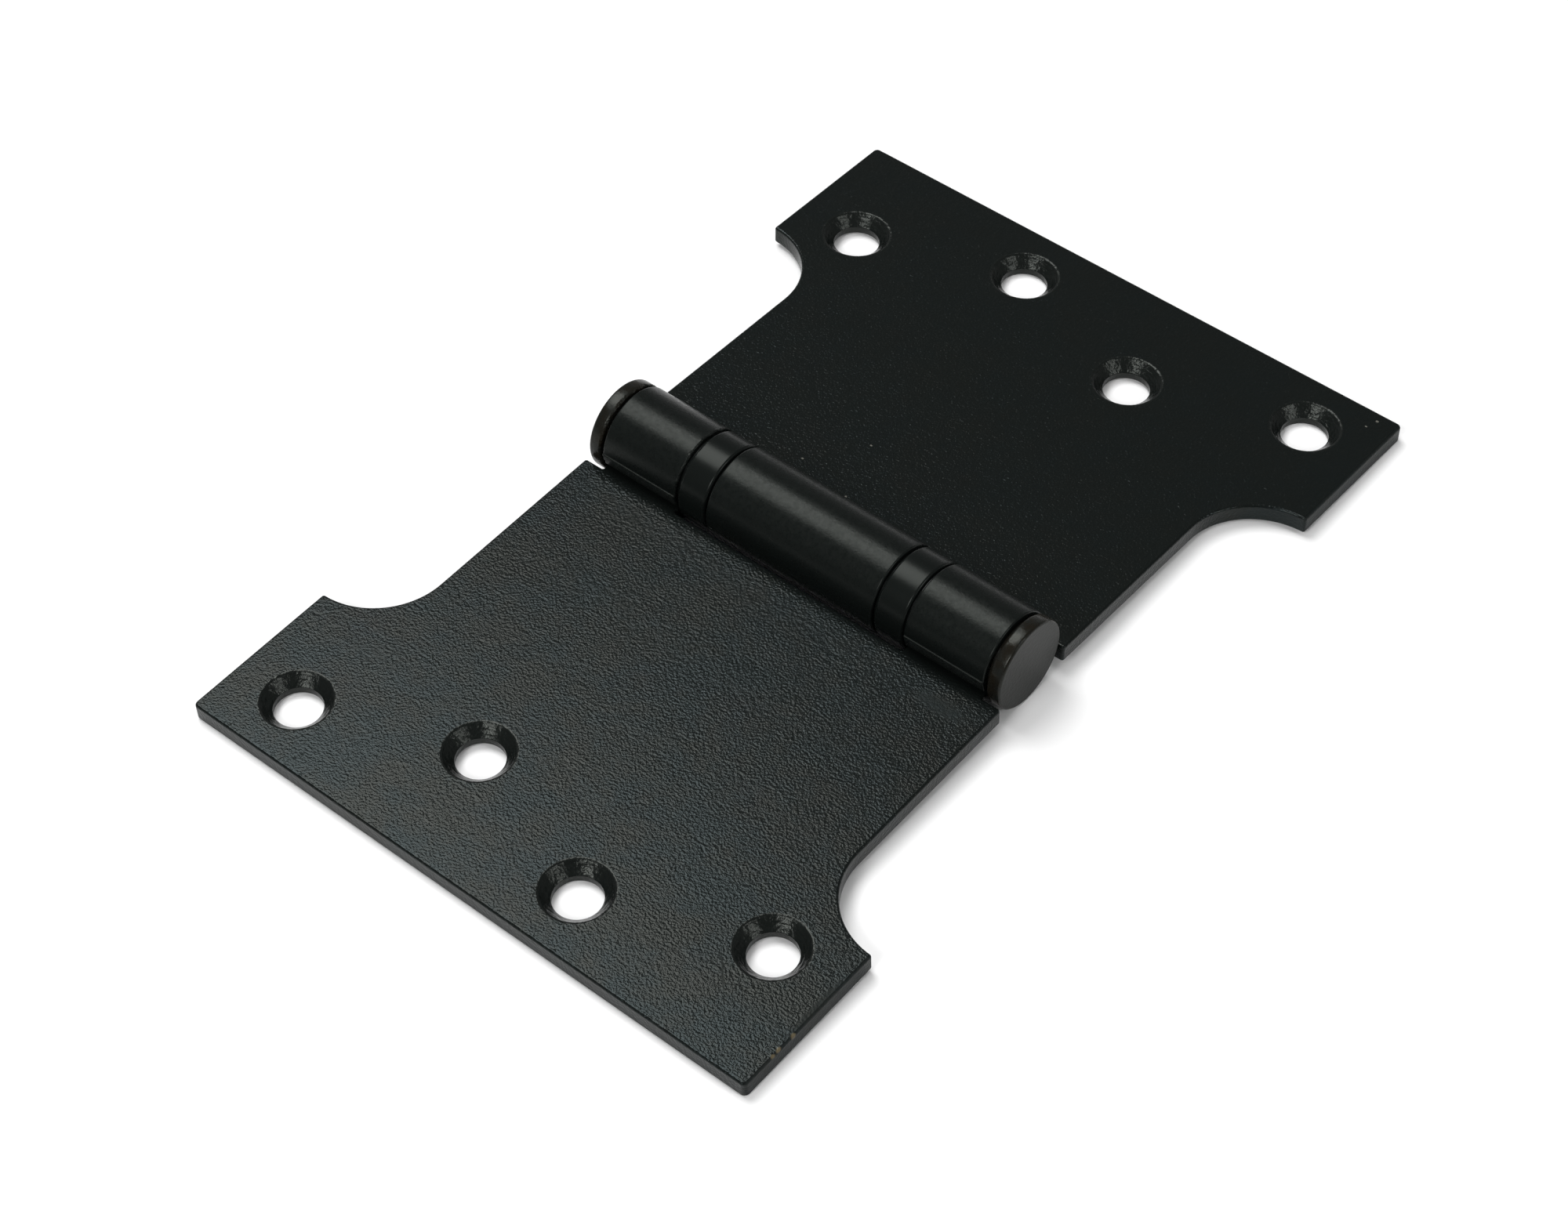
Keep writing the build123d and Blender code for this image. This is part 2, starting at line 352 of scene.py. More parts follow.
def knuckle_path():
    """Section of a roll seen from +X, anticlockwise from the leaf's face to the leaf's back: down the
    bend and along the bore, out along the free end with its lip, and back over and under the barrel."""
    bore = BORE / 2
    face = -LEAF_FACE_BELOW_AXIS
    bend_centre = (bend_end(), LEAF_BACK - BEND_RADIUS)
    tab_start = bend_end() + TAB_STUB
    bend_angle = math.degrees(math.atan2(bend_centre[1], bend_centre[0]))
    end_height = FOOT_HEIGHT + END_SLOPE
    end_out = math.sqrt(bore**2 - end_height**2)
    bore_last = math.degrees(math.asin(end_height / bore)) - 360
    lip_end = LIP_ANGLE + LIP_SPREAD
    lip_root = arc((0, 0), BARREL_RADIUS, LIP_ANGLE, LIP_ANGLE, 1)[0]
    roll_start = arc((0, 0), BARREL_RADIUS, lip_end, lip_end, 1)[0]

    path = [(tab_start, face)]
    path += arc(bend_centre, BEND_RADIUS + SHEET, 90, bend_angle + 180, BEND_STEPS)
    path += arc((0, 0), bore, bend_angle, bore_last, BORE_STEPS)[1:]
    path += rounded([
        (end_out, end_height, 0),
        (FOOT_OUT, FOOT_HEIGHT, FOOT_ROUND),
        (lip_root[0] + LIP_STEP, lip_root[1] - LIP_DROP, LIP_ROUND),
        (*lip_root, LIP_ROUND),
        (*roll_start, 0),
    ])[1:]
    path += arc((0, 0), BARREL_RADIUS, lip_end, bend_angle + 360, ROLL_STEPS)[1:]
    path += arc(bend_centre, BEND_RADIUS, bend_angle + 180, 90, BEND_STEPS)[1:]
    path.append((tab_start, LEAF_BACK))
    return path


def knuckle_roundings(path):
    """The roll's end edges are a little less round than the leaf's, and run into them on the tab."""
    bend_start = BARREL_RADIUS * bend_end() / (BARREL_RADIUS + BEND_RADIUS)
    roundings = []
    for out, height in path:
        share = min(1.0, max(0.0, (out - bend_start) / (bend_end() - bend_start)))
        on_tab = height <= -LEAF_FACE_BELOW_AXIS
        roundings.append(KNUCKLE_ROUND + (EDGE_ROUND - KNUCKLE_ROUND) * share * on_tab)
    return roundings


def leaf_place(on_front):
    """From a leaf drawn in line with the axis to where it lies: drooped until its outer edge touches
    the table, turned if in front, and lifted."""
    out = LEAF_REACH - EDGE_ROUND
    down = -LEAF_BACK - EDGE_ROUND
    droop = math.asin((AXIS_HEIGHT - EDGE_ROUND) / math.hypot(out, down)) - math.atan2(down, out)
    turn = Matrix.Rotation(math.pi if on_front else 0.0, 4, "Z")
    return Matrix.Translation((0, 0, AXIS_HEIGHT)) @ turn @ Matrix.Rotation(-droop, 4, "X")


def as_drawn(u, v, level):
    """A flat outline stays as it is drawn, with its level upwards."""
    return (u, v, level)


def on_end(u, v, level):
    """A section of the barrel is stood on end, with its level along the barrel."""
    return (level, u, v)


def make_leaf(name, tabs, on_front, sizes, materials):
    """A flat plate with its countersinks, and a roll on each of its tabs."""
    bm = bmesh.new()
    low_rim, high_rim = [], []
    for run in plate_runs(tabs, sizes.corner_radius / MM):
        roundings = [EDGE_ROUND] * len(run)
        low, high = add_walls(bm, run, roundings, LEAF_BACK, LEAF_BACK + SHEET, as_drawn)
        low_rim += low
        high_rim += high

    sinks = []
    for number in range(HOLES_PER_LEAF):
        along = (number - (HOLES_PER_LEAF - 1) / 2) * HOLE_PITCH
        centre = (along, (INNER_ROW, OUTER_ROW)[number % 2])
        profile = sink_profile(sizes.shoulder_round / MM)
        sinks.append(add_turned(bm, profile, centre, HOLE_STEPS, material=1))
    fill(bm, [high_rim] + [rings[0] for rings in sinks], (0, 0, 1))
    fill(bm, [low_rim] + [rings[-1] for rings in sinks], (0, 0, -1))

    path = knuckle_path()
    for start, end in tabs:
        low, high = add_walls(bm, path, knuckle_roundings(path), start, end, on_end)
        fill(bm, [low], (-1, 0, 0))
        fill(bm, [high], (1, 0, 0))
    return finished(bm, name, leaf_place(on_front), materials)


# Turned pieces

def make_turned(name, profile, closed, side, materials):
    """Turns an (along, radius) profile about the barrel's axis. A closed profile makes a ring. The
    side is 1 for the right end and -1 for the left."""
    bm = bmesh.new()
    heights = [(radius, along) for along, radius in profile]
    if closed:
        heights.append(heights[0])
    add_turned(bm, heights, (0, 0), TURN_STEPS)
    lay_along = Matrix.Rotation(math.pi / 2, 4, "Y")
    turn = Matrix.Rotation(0.0 if side > 0 else math.pi, 4, "Z")
    lift = Matrix.Translation((0, 0, AXIS_HEIGHT))
    return finished(bm, name, lift @ turn @ lay_along, materials)


def plug_profile(plug_round):
    """Spigot in the bore, thin neck and flat head of an end plug."""
    spigot_end = OUTER_KNUCKLE_END - PLUG_SPIGOT
    head_start = OUTER_KNUCKLE_END + PLUG_NECK
    bore = BORE / 2
    return rounded([
        (spigot_end, 0, 0),
        (spigot_end, bore - SPIGOT_CHAMFER, 0),
        (spigot_end + SPIGOT_CHAMFER, bore, 0),
        (OUTER_KNUCKLE_END, bore, 0),
        (OUTER_KNUCKLE_END, PLUG_NECK_DIAMETER / 2, 0),
        (head_start, PLUG_NECK_DIAMETER / 2, 0),
        (head_start, PLUG_DIAMETER / 2, plug_round),
        (BARREL_END, PLUG_DIAMETER / 2, plug_round),
        (BARREL_END, 0, 0),
    ])


def shell_profile(collar_round):
    """A plain tube round the bearing, with a groove left free at each end."""
    start = MIDDLE_KNUCKLE_END + GROOVE
    end = OUTER_KNUCKLE_START - GROOVE
    return rounded([
        (start, SHELL_BORE / 2, 0),
        (start, SHELL_DIAMETER / 2, collar_round),
        (end, SHELL_DIAMETER / 2, collar_round),
        (end, SHELL_BORE / 2, 0),
    ])


# Ball rings, made by geometry nodes

def ball_ring_tree():
    """Balls of one size spaced evenly round the barrel's axis."""
    tree = bpy.data.node_groups.new("Ring of balls", "GeometryNodeTree")
    sockets = (
        ("Count", "NodeSocketInt"),
        ("Pitch radius", "NodeSocketFloat"),
        ("Ball radius", "NodeSocketFloat"),
        ("Along", "NodeSocketFloat"),
        ("Height", "NodeSocketFloat"),
        ("Steel", "NodeSocketMaterial"),
    )
    for name, kind in sockets:
        tree.interface.new_socket(name=name, in_out="INPUT", socket_type=kind)
    tree.interface.new_socket(name="Geometry", in_out="OUTPUT", socket_type="NodeSocketGeometry")
    given = add_node(tree, "NodeGroupInput").outputs
    ring = add_node(tree, "GeometryNodeMeshCircle", {
        "Vertices": given["Count"], "Radius": given["Pitch radius"],
    })
    ball = add_node(tree, "GeometryNodeMeshUVSphere", {
        "Segments": BALL_SEGMENTS, "Rings": BALL_RINGS, "Radius": given["Ball radius"],
    })
    smooth = add_node(tree, "GeometryNodeSetShadeSmooth", {"Geometry": ball.outputs["Mesh"]})
    balls = add_node(tree, "GeometryNodeInstanceOnPoints", {
        "Points": ring.outputs["Mesh"], "Instance": smooth.outputs[0],
    })
    place = add_node(tree, "ShaderNodeCombineXYZ", {"X": given["Along"], "Z": given["Height"]})
    upright = add_node(tree, "GeometryNodeTransform", {
        "Geometry": balls.outputs[0], "Translation": place.outputs[0], "Rotation": (0.0, math.pi / 2, 0.0),
    })
    real = add_node(tree, "GeometryNodeRealizeInstances", {"Geometry": upright.outputs[0]})
    steel = add_node(tree, "GeometryNodeSetMaterial", {
        "Geometry": real.outputs[0], "Material": given["Steel"],
    })
    add_node(tree, "NodeGroupOutput", {"Geometry": steel.outputs[0]})
    return tree


def make_ball_ring(name, side, tree, ball_diameter, material):
    """The balls of one bearing as one plain mesh."""
    piece = bpy.data.objects.new(name, bpy.data.meshes.new(name))
    bpy.context.scene.collection.objects.link(piece)
    nodes = piece.modifiers.new("Balls", "NODES")
    nodes.node_group = tree
    values = {
        "Count": BALL_COUNT,
        "Pitch radius": BALL_PITCH_RADIUS * MM,
        "Ball radius": ball_diameter / 2,
        "Along": side * BEARING_MIDDLE * MM,
        "Height": AXIS_HEIGHT * MM,
        "Steel": material,
    }
    for item in tree.interface.items_tree:
        if item.in_out == "INPUT":
            nodes[item.identifier] = values[item.name]
    return applied(piece)


# Materials

# How strongly each coat mirrors, as the shader's specular level, and the tint of what it mirrors
COAT_GLOSS = 0.12
FLAT_GLOSS = 0.165
PIT_GLOSS = 0.05
SINK_GLOSS = 0.22
PLUG_GLOSS = 0.155
COAT_TINT = (0.94, 1.0, 0.93, 1.0)
FLAT_TINT = (0.82, 1.0, 1.02, 1.0)

# Colours under or on the coat: primer in chips, dust in specks, and brown where the plugs are rubbed
CHIP_COLOUR = "#554c39"
SPECK_COLOUR = "#5e5d57"
RUBBED_COLOUR = "#17140f"

# Distances from the axis: dried coat reaches out to the skin of the barrel, and the look of the
# rolled sheet changes to that of the flat leaf
BARREL_SKIN = BARREL_RADIUS * 1.01
ROLL_EDGE = BARREL_RADIUS * 1.03
FLAT_START = BARREL_RADIUS * 1.1

# How far the coat ran in over the races' rims, and the width over which the plugs' rubbed rims
# give way to their faces
COAT_REACH = 0.1
RIM_BLEND = 0.1

# Small marks of handling: centre in the hinge's frame, turn in degrees, and size along and across
CHIPS = (
    ((50.95, -71.6, 3.1), 97.0, 0.9, 0.7),
    ((50.8, -70.4, 3.1), 110.0, 1.1, 0.6),
    ((50.95, -67.5, 3.1), 90.0, 0.9, 0.8),
)
SPECKS = (
    ((47.6, 75.6, 3.0), 0.0, 0.5, 0.4),
    ((46.9, 73.6, 3.1), 0.0, 0.4, 0.3),
    ((-7.8, 22.0, 4.5), 0.0, 0.4, 0.3),
    ((-13.9, 13.2, 4.7), 0.0, 0.4, 0.3),
    ((-3.9, 11.1, 4.8), 0.0, 0.4, 0.3),
)
PITS = (
    ((48.2, -71.0, 3.2), 0.0, 0.5, 0.4),
    ((-32.7, -75.4, 3.0), 20.0, 0.8, 0.5),
    ((-32.3, -74.2, 3.1), 80.0, 0.6, 0.4),
)
RUBBED = (
    ((50.5, -62.0, 3.4), 90.0, 13.0, 1.2),
    ((36.6, -64.9, 3.3), -46.8, 13.0, 0.3),
    ((31.8, -12.2, 4.8), 0.0, 8.0, 3.0),
)
CRUSTED_GROOVES = (
    ((-35.9, 0.0, AXIS_HEIGHT), 0.0, 1.3, 34.0),
    ((-21.2, 0.0, AXIS_HEIGHT), 0.0, 1.3, 34.0),
)


def new_material(name, **values):
    """A material with one Principled shader; also returns its node tree, shader and Object coordinates."""
    material = bpy.data.materials.new(name)
    material.use_nodes = True
    tree = material.node_tree
    tree.nodes.clear()
    inputs = {key.replace("_", " "): value for key, value in values.items()}
    shader = add_node(tree, "ShaderNodeBsdfPrincipled", inputs)
    add_node(tree, "ShaderNodeOutputMaterial", {"Surface": shader.outputs[0]})
    return material, tree, shader, add_node(tree, "ShaderNodeTexCoord").outputs["Object"]


def from_axis(tree, place):
    """How far a point is from the barrel's axis."""
    lowered = add_node(tree, "ShaderNodeVectorMath", {
        0: place, 1: (0.0, 0.0, -AXIS_HEIGHT * MM),
    }, operation="ADD")
    across = add_node(tree, "ShaderNodeVectorMath", {
        0: lowered.outputs[0], 1: (0.0, 1.0, 1.0),
    }, operation="MULTIPLY")
    return add_node(tree, "ShaderNodeVectorMath", {0: across.outputs[0]}, operation="LENGTH").outputs["Value"]


def marks(tree, place, spots):
    """A mask of small marks with ragged outlines."""
    rag_width = 0.5
    ragged = add_node(tree, "ShaderNodeTexNoise", {"Vector": place, "Scale": per(rag_width), "Detail": 2.0})
    mask = 0.0
    for centre, turn, along, across in spots:
        local = add_node(tree, "ShaderNodeMapping", {
            "Vector": place,
            "Location": [part * MM for part in centre],
            "Rotation": (0.0, 0.0, math.radians(turn)),
            "Scale": (along / 2 * MM, across / 2 * MM, across / 2 * MM),
        }, vector_type="TEXTURE")
        away = add_node(tree, "ShaderNodeVectorMath", {0: local.outputs[0]}, operation="LENGTH")
        rough = add_node(tree, "ShaderNodeMath", {0: away.outputs["Value"], 1: ragged.outputs["Fac"]})
        inside = add_node(tree, "ShaderNodeMapRange", {
            "Value": rough.outputs[0], "From Min": 1.1, "From Max": 1.7, "To Min": 1.0, "To Max": 0.0,
        })
        either = add_node(tree, "ShaderNodeMath", {0: mask, 1: inside.outputs[0]}, operation="MAXIMUM")
        mask = either.outputs[0]
    return mask


def crusted(tree, place, normal):
    """Paint that ran into the narrow grooves and dried there in lumps, with broken highlights."""
    lump_width, lump_height = 1.2, 0.6
    on_barrel = add_node(tree, "ShaderNodeMapRange", {
        "Value": from_axis(tree, place),
        "From Min": BARREL_SKIN * MM,
        "From Max": ROLL_EDGE * MM,
        "To Min": 1.0,
        "To Max": 0.0,
    })
    strength = add_node(tree, "ShaderNodeMath", {
        0: marks(tree, place, CRUSTED_GROOVES), 1: on_barrel.outputs[0],
    }, operation="MULTIPLY")
    lumps = add_node(tree, "ShaderNodeTexNoise", {"Vector": place, "Scale": per(lump_width), "Detail": 3.0})
    bump = add_node(tree, "ShaderNodeBump", {
        "Height": lumps.outputs["Fac"],
        "Distance": lump_height * MM,
        "Strength": strength.outputs[0],
        "Normal": normal,
    })
    return bump.outputs[0]


def powder_coat(colour):
    """Fine-textured powder coat on pressed steel. The flats have a sandy grain and a soft sheen that
    drifts from cool to brownish in patches, the rolled sheet is smoother and handled, and a few chips
    and specks show. The leaf's end faces are duller, and don't glare."""
    patch_width, handling_width = 9.0, 0.8
    peel_width, peel_depth = 3.5, 0.01
    grain_width, grain_depth = 0.38, 0.07
    flat_roughness, dull_roughness = 0.2, 0.45
    material, tree, shader, place = new_material(
        "black powder coat", Specular_IOR_Level=FLAT_GLOSS, Specular_Tint=COAT_TINT,
    )
    flat = add_node(tree, "ShaderNodeMapRange", {
        "Value": from_axis(tree, place), "From Min": ROLL_EDGE * MM, "From Max": FLAT_START * MM,
    }).outputs[0]

    chipped = add_node(tree, "ShaderNodeMix", {
        0: marks(tree, place, CHIPS), 6: rgba(colour), 7: rgba(linear(CHIP_COLOUR)),
    }, data_type="RGBA")
    specked = add_node(tree, "ShaderNodeMix", {
        0: marks(tree, place, SPECKS), 6: chipped.outputs[2], 7: rgba(linear(SPECK_COLOUR)),
    }, data_type="RGBA")
    clean = add_node(tree, "ShaderNodeMix", {0: flat, 2: COAT_GLOSS, 3: FLAT_GLOSS})
    shine = add_node(tree, "ShaderNodeMix", {
        0: marks(tree, place, PITS), 2: clean.outputs[0], 3: PIT_GLOSS,
    })
    patches = add_node(tree, "ShaderNodeTexNoise", {
        "Vector": place, "Scale": per(patch_width), "Detail": 5.0, "Roughness": 0.7,
    })
    cool = add_node(tree, "ShaderNodeMapRange", {
        "Value": patches.outputs["Fac"], "From Min": 0.4, "From Max": 0.6, "To Min": 0.0, "To Max": flat,
    })
    sheen = add_node(tree, "ShaderNodeMix", {
        0: cool.outputs[0], 6: COAT_TINT, 7: FLAT_TINT,
    }, data_type="RGBA")

    handling = add_node(tree, "ShaderNodeTexNoise", {
        "Vector": place, "Scale": per(handling_width), "Detail": 4.0, "Roughness": 0.7,
    })
    rolled = add_node(tree, "ShaderNodeMapRange", {
        "Value": handling.outputs["Fac"], "From Min": 0.3, "From Max": 0.7, "To Min": 0.22, "To Max": 0.38,
    })
    gloss = add_node(tree, "ShaderNodeMix", {0: flat, 2: rolled.outputs[0], 3: flat_roughness})
    parts = add_node(tree, "ShaderNodeSeparateXYZ", {0: place})
    along = add_node(tree, "ShaderNodeMath", {0: parts.outputs["X"]}, operation="ABSOLUTE")
    end_face = add_node(tree, "ShaderNodeMapRange", {
        "Value": along.outputs[0],
        "From Min": (LEAF_HEIGHT / 2 - EDGE_ROUND) * MM,
        "From Max": (LEAF_HEIGHT / 2 - EDGE_ROUND / 2) * MM,
    })
    dull = add_node(tree, "ShaderNodeMath", {
        0: marks(tree, place, RUBBED), 1: end_face.outputs[0],
    }, operation="MAXIMUM")
    dulled = add_node(tree, "ShaderNodeMix", {0: dull.outputs[0], 2: gloss.outputs[0], 3: dull_roughness})

    peel = add_node(tree, "ShaderNodeTexNoise", {"Vector": place, "Scale": per(peel_width), "Detail": 1.0})
    wavy = add_node(tree, "ShaderNodeBump", {"Height": peel.outputs["Fac"], "Distance": peel_depth * MM})
    grain = add_node(tree, "ShaderNodeTexNoise", {
        "Vector": place, "Scale": per(grain_width), "Detail": 1.0, "Roughness": 0.6,
    })
    strength = add_node(tree, "ShaderNodeMapRange", {"Value": flat, "To Min": 0.2, "To Max": 1.0})
    sandy = add_node(tree, "ShaderNodeBump", {
        "Height": grain.outputs["Fac"],
        "Distance": grain_depth * MM,
        "Strength": strength.outputs[0],
        "Normal": wavy.outputs[0],
    })
    tree.links.new(specked.outputs[2], shader.inputs["Base Color"])
    tree.links.new(shine.outputs[0], shader.inputs["Specular IOR Level"])
    tree.links.new(sheen.outputs[2], shader.inputs["Specular Tint"])
    tree.links.new(dulled.outputs[0], shader.inputs["Roughness"])
    tree.links.new(crusted(tree, place, sandy.outputs[0]), shader.inputs["Normal"])
    return material


def sink_coat(colour):
    """The same coat over a turned countersink: faint rings, sandy grain and soft glints."""
    ring_width, ring_depth = 0.3, 0.05
    grain_width, grain_depth = 0.8, 0.16
    material, tree, shader, place = new_material(
        "black coat over a countersink",
        Base_Color=rgba(colour),
        Roughness=0.25,
        Specular_IOR_Level=SINK_GLOSS,
        Specular_Tint=COAT_TINT,
    )
    level = add_node(tree, "ShaderNodeMapping", {"Vector": place, "Scale": (0.02, 0.02, 1.0)})
    rings = add_node(tree, "ShaderNodeTexNoise", {
        "Vector": level.outputs[0], "Scale": per(ring_width), "Detail": 2.0,
    })
    turned = add_node(tree, "ShaderNodeBump", {"Height": rings.outputs["Fac"], "Distance": ring_depth * MM})
    grain = add_node(tree, "ShaderNodeTexNoise", {"Vector": place, "Scale": per(grain_width), "Detail": 3.0})
    sandy = add_node(tree, "ShaderNodeBump", {
        "Height": grain.outputs["Fac"], "Distance": grain_depth * MM, "Normal": turned.outputs[0],
    })
    tree.links.new(sandy.outputs[0], shader.inputs["Normal"])
    return material


def satin_coat(colour):
    """Smooth satin black on the bearing collars: one clean, broad highlight."""
    peel_width, peel_depth = 1.6, 0.012
    material, tree, shader, place = new_material(
        "satin black coat",
        Base_Color=rgba(colour),
        Roughness=0.27,
        Specular_IOR_Level=COAT_GLOSS,
        Specular_Tint=COAT_TINT,
    )
    peel = add_node(tree, "ShaderNodeTexNoise", {"Vector": place, "Scale": per(peel_width), "Detail": 2.0})
    wavy = add_node(tree, "ShaderNodeBump", {"Height": peel.outputs["Fac"], "Distance": peel_depth * MM})
    tree.links.new(crusted(tree, place, wavy.outputs[0]), shader.inputs["Normal"])
    return material


def thin_coat(colour):
    """A thin coat on the turned plugs: a flat grey face with faint rings, and a rim that shows brown
    and glossy where it is rubbed, with fine turned lines."""
    blotch_width, grain_width, grain_depth = 1.6, 0.6, 0.035
    line_width, ring_width, turned_depth = 0.3, 0.5, 0.012
    material, tree, shader, place = new_material(
        "thin black coat on turned steel", Specular_IOR_Level=PLUG_GLOSS, Specular_Tint=COAT_TINT,
    )
    parts = add_node(tree, "ShaderNodeSeparateXYZ", {0: place}).outputs
    along = add_node(tree, "ShaderNodeMath", {0: parts["X"]}, operation="ABSOLUTE")
    rim = add_node(tree, "ShaderNodeMapRange", {
        "Value": along.outputs[0],
        "From Min": (BARREL_END - RIM_BLEND) * MM,
        "From Max": BARREL_END * MM,
        "To Min": 1.0,
        "To Max": 0.0,
    }).outputs[0]
    blotch = add_node(tree, "ShaderNodeTexNoise", {
        "Vector": place, "Scale": per(blotch_width), "Detail": 4.0,
    })
    worn = add_node(tree, "ShaderNodeMapRange", {
        "Value": blotch.outputs["Fac"], "From Min": 0.35, "From Max": 0.65,
    })
    brown = add_node(tree, "ShaderNodeMath", {0: rim, 1: worn.outputs[0]}, operation="MULTIPLY")
    tone = add_node(tree, "ShaderNodeMix", {
        0: brown.outputs[0], 6: rgba(colour), 7: rgba(linear(RUBBED_COLOUR)),
    }, data_type="RGBA")
    rubbed = add_node(tree, "ShaderNodeMapRange", {"Value": worn.outputs[0], "To Min": 0.34, "To Max": 0.18})
    gloss = add_node(tree, "ShaderNodeMix", {0: rim, 2: 0.4, 3: rubbed.outputs[0]})

    lines = add_node(tree, "ShaderNodeTexNoise", {
        "W": parts["X"], "Scale": per(line_width), "Detail": 3.0,
    }, noise_dimensions="1D")
    rings = add_node(tree, "ShaderNodeTexNoise", {
        "W": from_axis(tree, place), "Scale": per(ring_width), "Detail": 3.0,
    }, noise_dimensions="1D")
    turned = add_node(tree, "ShaderNodeMix", {0: rim, 2: rings.outputs["Fac"], 3: lines.outputs["Fac"]})
    faint = add_node(tree, "ShaderNodeBump", {"Height": turned.outputs[0], "Distance": turned_depth * MM})
    grain = add_node(tree, "ShaderNodeTexNoise", {"Vector": place, "Scale": per(grain_width), "Detail": 3.0})
    sandy = add_node(tree, "ShaderNodeBump", {
        "Height": grain.outputs["Fac"], "Distance": grain_depth * MM, "Normal": faint.outputs[0],
    })
    tree.links.new(tone.outputs[2], shader.inputs["Base Color"])
    tree.links.new(gloss.outputs[0], shader.inputs["Roughness"])
    tree.links.new(crusted(tree, place, sandy.outputs[0]), shader.inputs["Normal"])
    return material


def drawn_steel(colour):
    """Bright drawn bar for the pin: fine lines along its length. The real lines are too fine to
    show, and are drawn a few times wider."""
    line_width, line_depth = 0.2, 0.004
    material, tree, shader, place = new_material(
        "bright drawn steel", Base_Color=rgba(colour), Metallic=1.0, Roughness=0.3,
    )
    along = add_node(tree, "ShaderNodeMapping", {"Vector": place, "Scale": (0.03, 1.0, 1.0)})
    lines = add_node(tree, "ShaderNodeTexNoise", {
        "Vector": along.outputs[0], "Scale": per(line_width), "Detail": 3.0,
    })
    gloss = add_node(tree, "ShaderNodeMapRange", {
        "Value": lines.outputs["Fac"], "To Min": 0.22, "To Max": 0.42,
    })
    bump = add_node(tree, "ShaderNodeBump", {"Height": lines.outputs["Fac"], "Distance": line_depth * MM})
    tree.links.new(gloss.outputs[0], shader.inputs["Roughness"])
    tree.links.new(bump.outputs[0], shader.inputs["Normal"])
    return material


def ground_steel(colour, coat):
    """Hardened and ground races: a bright grey with fine rings about the axis, drawn wider than the
    real ones so that they show. Their rims are seen at the bottom of the collars' grooves, and are
    black with the coat that ran in."""
    ring_width, ring_depth = 0.15, 0.003
    material, tree, shader, place = new_material(
        "ground bearing steel", Roughness=0.25, Specular_IOR_Level=COAT_GLOSS,
    )
    rim = add_node(tree, "ShaderNodeMapRange", {
        "Value": from_axis(tree, place),
        "From Min": (RACE_RADIUS - COAT_REACH) * MM,
        "From Max": (RACE_RADIUS - COAT_REACH / 2) * MM,
    }).outputs[0]
    tone = add_node(tree, "ShaderNodeMix", {0: rim, 6: rgba(colour), 7: rgba(coat)}, data_type="RGBA")
    bare = add_node(tree, "ShaderNodeMapRange", {"Value": rim, "To Min": 1.0, "To Max": 0.0})
    rings = add_node(tree, "ShaderNodeTexNoise", {
        "W": from_axis(tree, place), "Scale": per(ring_width),
    }, noise_dimensions="1D")
    bump = add_node(tree, "ShaderNodeBump", {"Height": rings.outputs["Fac"], "Distance": ring_depth * MM})
    tree.links.new(tone.outputs[2], shader.inputs["Base Color"])
    tree.links.new(bare.outputs[0], shader.inputs["Metallic"])
    tree.links.new(bump.outputs[0], shader.inputs["Normal"])
    return material


def polished_steel(colour):
    """Polished bearing balls: near mirrors with a faint haze."""
    haze_width = 0.5
    material, tree, shader, place = new_material(
        "polished ball steel", Base_Color=rgba(colour), Metallic=1.0, Roughness=0.1,
    )
    haze = add_node(tree, "ShaderNodeTexNoise", {"Vector": place, "Scale": per(haze_width), "Detail": 3.0})
    gloss = add_node(tree, "ShaderNodeMapRange", {
        "Value": haze.outputs["Fac"], "To Min": 0.06, "To Max": 0.16,
    })
    tree.links.new(gloss.outputs[0], shader.inputs["Roughness"])
    return material


def pressed_brass(colour):
    """Thin pressed brass for the cages: warm, slightly dulled by grease."""
    cloud_width = 1.5
    material, tree, shader, place = new_material(
        "pressed brass", Base_Color=rgba(colour), Metallic=1.0, Roughness=0.35,
    )
    cloud = add_node(tree, "ShaderNodeTexNoise", {"Vector": place, "Scale": per(cloud_width), "Detail": 3.0})
    gloss = add_node(tree, "ShaderNodeMapRange", {
        "Value": cloud.outputs["Fac"], "To Min": 0.28, "To Max": 0.48,
    })
    tree.links.new(gloss.outputs[0], shader.inputs["Roughness"])
    return material


# Stage

# Lights: azimuth from +X towards +Y, elevation, apparent size in degrees, radiance where 1 is paper
# white, and whether glossy surfaces mirror it
LIGHT_DISTANCE = 2.0
SOFT_LIGHTS = (
    ("side window", 171.0, 62.0, 36.0, 5.9, True),
    ("front softbox", -88.0, 40.0, 22.0, 9.0, True),
    ("right softbox", 7.0, 36.0, 22.0, 5.0, True),
    ("overhead fill", 90.0, 86.0, 30.0, 0.9, False),
)
FLOOR_HALF = 3.0

# The studio's pale band: its brightness and the dim rest, and where it fades upwards and to the front
WORLD_DIM = 0.22
WORLD_PALE = 0.42
BAND_START = 0.02
BAND_END = 0.5
FRONT_FADE = 0.3


